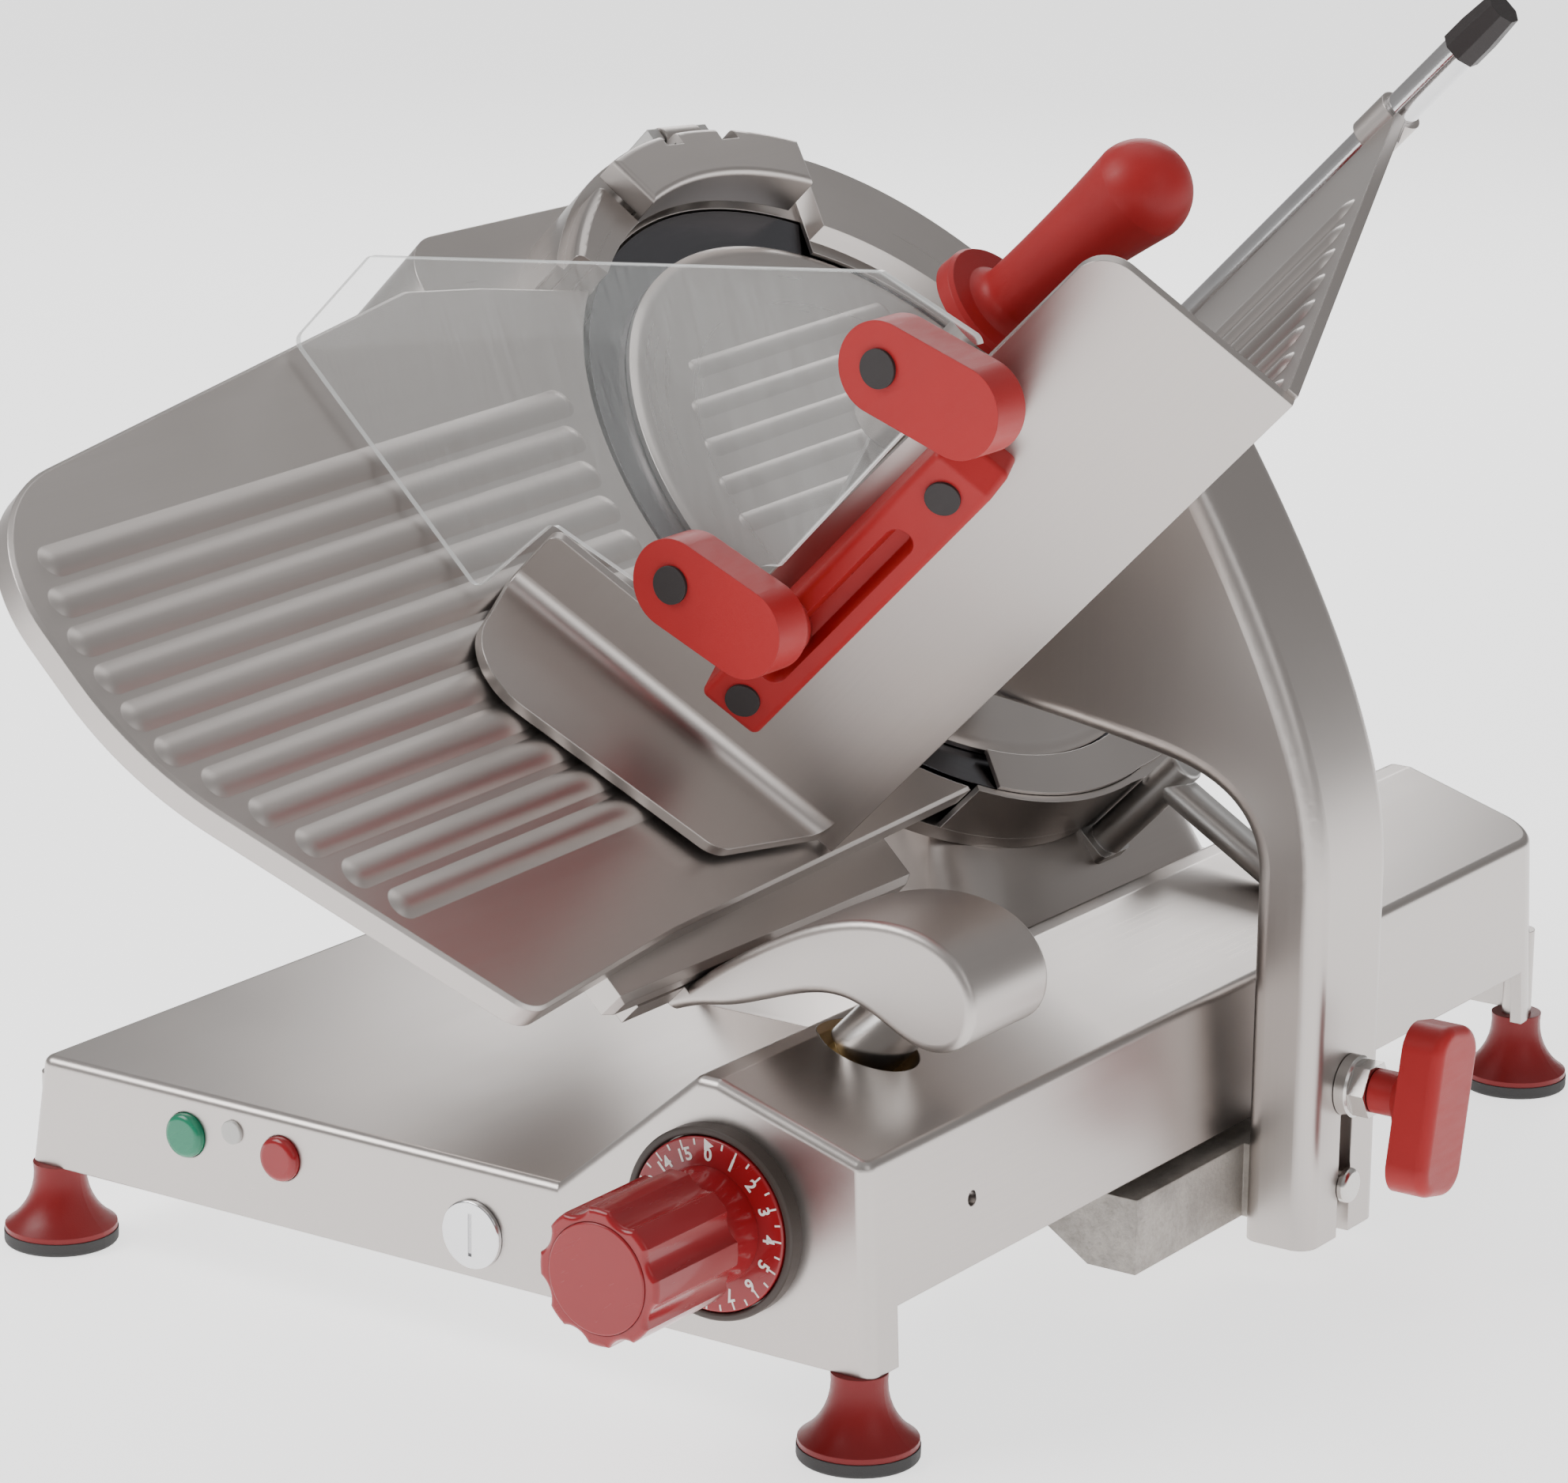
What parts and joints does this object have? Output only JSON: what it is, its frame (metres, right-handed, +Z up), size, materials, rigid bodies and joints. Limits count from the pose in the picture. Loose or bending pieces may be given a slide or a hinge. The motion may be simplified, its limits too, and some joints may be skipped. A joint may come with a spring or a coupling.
{
  "type": "deli meat slicer",
  "caption": "Inclined gravity slicer with round blade, ribbed gauge plate, thickness dial, sliding feed tray, clear guard and swinging meat pusher.",
  "frame": {"origin": "centre of the bounding box, on the surface the foot pads stand on", "axes": "+Z up, -Y towards the operator and the control face, +X towards the carriage's side; +Y is the way the carriage is pushed"},
  "size_m": [0.6189, 0.7813, 0.555],
  "materials": {
    "cast_aluminium": "satin cast and polished",
    "brushed_aluminium": "brushed",
    "steel_plate": "brushed",
    "blade_steel": "ground and polished",
    "chrome_steel": "polished",
    "zinc_bolt": "zinc plated, warm",
    "red_plastic": "satin",
    "red_gloss": "glossy",
    "green_plastic": "glossy",
    "black_plastic": "matte",
    "black_rubber": "matte",
    "clear_acrylic": "clear",
    "lamp_lens": "clear over a metal bezel",
    "cast_iron": "painted",
    "grit": "abrasive",
    "bronze": "plain"
  },
  "bodies": {
    "base": {"base_casting": "cast_aluminium", "bottom_plate": "steel_plate", "feet": "red_plastic", "foot_pads": "black_rubber", "cable_gland": "black_plastic", "switch_blocks": "black_plastic", "indicator_lamp": "lamp_lens", "dial_bezel": "black_plastic", "pedestal": "cast_aluminium", "blade_frame": "cast_aluminium", "ring_guard": "cast_aluminium", "ring_cap": "cast_aluminium", "ring_stay": "steel_plate", "blade_bearings": "chrome_steel", "blade_cover": "cast_aluminium", "cover_tie_rod": "red_plastic", "drive_housing": "cast_aluminium", "motor": "cast_iron", "drive_belt": "black_rubber", "sharpener_arm": "steel_plate", "gauge_shaft_bush": "bronze", "guide_bar": "chrome_steel"},
    "on_button": {"on_button": "green_plastic"},
    "off_button": {"off_button": "red_gloss"},
    "plug": {"slotted_plug": "chrome_steel"},
    "dial": {"dial_disc": "red_gloss", "dial_knob": "red_gloss", "knob_cap": "red_gloss", "dial_spindle": "steel_plate"},
    "gauge": {"gauge_plate": "cast_aluminium", "gauge_bracket": "cast_aluminium", "gauge_arm": "cast_aluminium", "gauge_bolt": "zinc_bolt", "gauge_shaft": "chrome_steel", "gauge_follower": "steel_plate"},
    "blade_unit": {"blade": "blade_steel", "blade_hub": "steel_plate", "blade_screws": "steel_plate", "driven_pulley": "steel_plate"},
    "rotor": {"motor_rotor": "steel_plate"},
    "hood": {"sharpener_hood": "cast_aluminium"},
    "grinder": {"grinding_stone": "grit"},
    "honer": {"honing_stone": "grit"},
    "carriage": {"slide_block": "cast_iron", "slide_bushes": "bronze", "lock_stud": "chrome_steel", "guide_pin": "chrome_steel"},
    "lock": {"lock_knob": "red_plastic"},
    "tray": {"carriage_arm": "cast_aluminium", "tray_wall": "brushed_aluminium", "tray_table": "brushed_aluminium", "clear_guard": "clear_acrylic", "guard_handle": "red_plastic", "handle_caps": "black_plastic", "pusher_rod": "chrome_steel", "rod_cap": "black_plastic"},
    "pusher_carrier": {"pusher_hub": "steel_plate"},
    "pusher": {"pusher_arm": "cast_aluminium", "pusher_plate": "steel_plate", "pusher_grip": "red_plastic"}
  },
  "joints": [
    {"name": "on_button_press", "type": "slide", "parent": "base", "child": "on_button", "axis": [0, 1, 0], "range_m": [0, 0.0025], "stiffness_N_per_m": 400, "springref_m": -0.002},
    {"name": "off_button_press", "type": "slide", "parent": "base", "child": "off_button", "axis": [0, 1, 0], "range_m": [0, 0.0025], "stiffness_N_per_m": 400, "springref_m": -0.002},
    {"name": "plug_turn", "type": "hinge", "parent": "base", "child": "plug", "pos_m": [0.0168, -0.2206, 0.0564], "axis": [0, -1, 0], "range_deg": [0, 90]},
    {"name": "gauge_slide", "type": "slide", "parent": "base", "child": "gauge", "axis": [-0.6972, 0, -0.7169], "range_m": [0, 0.015]},
    {"name": "dial_turn", "type": "hinge", "parent": "base", "child": "dial", "pos_m": [0.1419, -0.2206, 0.09], "axis": [0, -1, 0], "range_deg": [0, 337.6]},
    {"name": "blade_spin", "type": "hinge", "parent": "base", "child": "blade_unit", "pos_m": [-0.0221, 0.1514, 0.301], "axis": [0.6972, 0, 0.7169], "continuous": true},
    {"name": "rotor_spin", "type": "hinge", "parent": "base", "child": "rotor", "pos_m": [-0.17243, 0.0894, 0.33002], "axis": [0.6972, 0, 0.7169], "continuous": true},
    {"name": "hood_hinge", "type": "hinge", "parent": "base", "child": "hood", "pos_m": [-0.15744, 0.16741, 0.45354], "axis": [-0.0562, -0.9969, 0.0547], "range_deg": [0, 70]},
    {"name": "grinding_stone_spin", "type": "hinge", "parent": "base", "child": "grinder", "pos_m": [-0.1502, 0.13856, 0.43255], "axis": [0.6972, 0, 0.7169], "continuous": true},
    {"name": "honing_stone_spin", "type": "hinge", "parent": "base", "child": "honer", "pos_m": [-0.1481, 0.18651, 0.43051], "axis": [0.6972, 0, 0.7169], "continuous": true},
    {"name": "carriage_slide", "type": "slide", "parent": "base", "child": "carriage", "axis": [0, 1, 0], "range_m": [-0.15, 0.2]},
    {"name": "lock_knob_turn", "type": "hinge", "parent": "carriage", "child": "lock", "pos_m": [0.2729, 0.0964, 0.084], "axis": [1, 0, 0], "range_deg": [0, 90]},
    {"name": "tray_lift", "type": "slide", "parent": "carriage", "child": "tray", "axis": [0, 0, 1], "range_m": [0, 0.06]},
    {"name": "pusher_slide", "type": "slide", "parent": "tray", "child": "pusher_carrier", "axis": [0.6972, 0, 0.7169], "range_m": [-0.083, 0.141]},
    {"name": "pusher_swing", "type": "hinge", "parent": "pusher_carrier", "child": "pusher", "pos_m": [0.09242, 0.18165, 0.37027], "axis": [-0.6972, 0, -0.7169], "range_deg": [0, 100]}
  ],
  "couplings": [
    {"joint": "dial_turn", "follows": "gauge_slide", "rad_per_m": 392.7},
    {"joint": "rotor_spin", "follows": "blade_spin", "ratio": 2.8571}
  ]
}
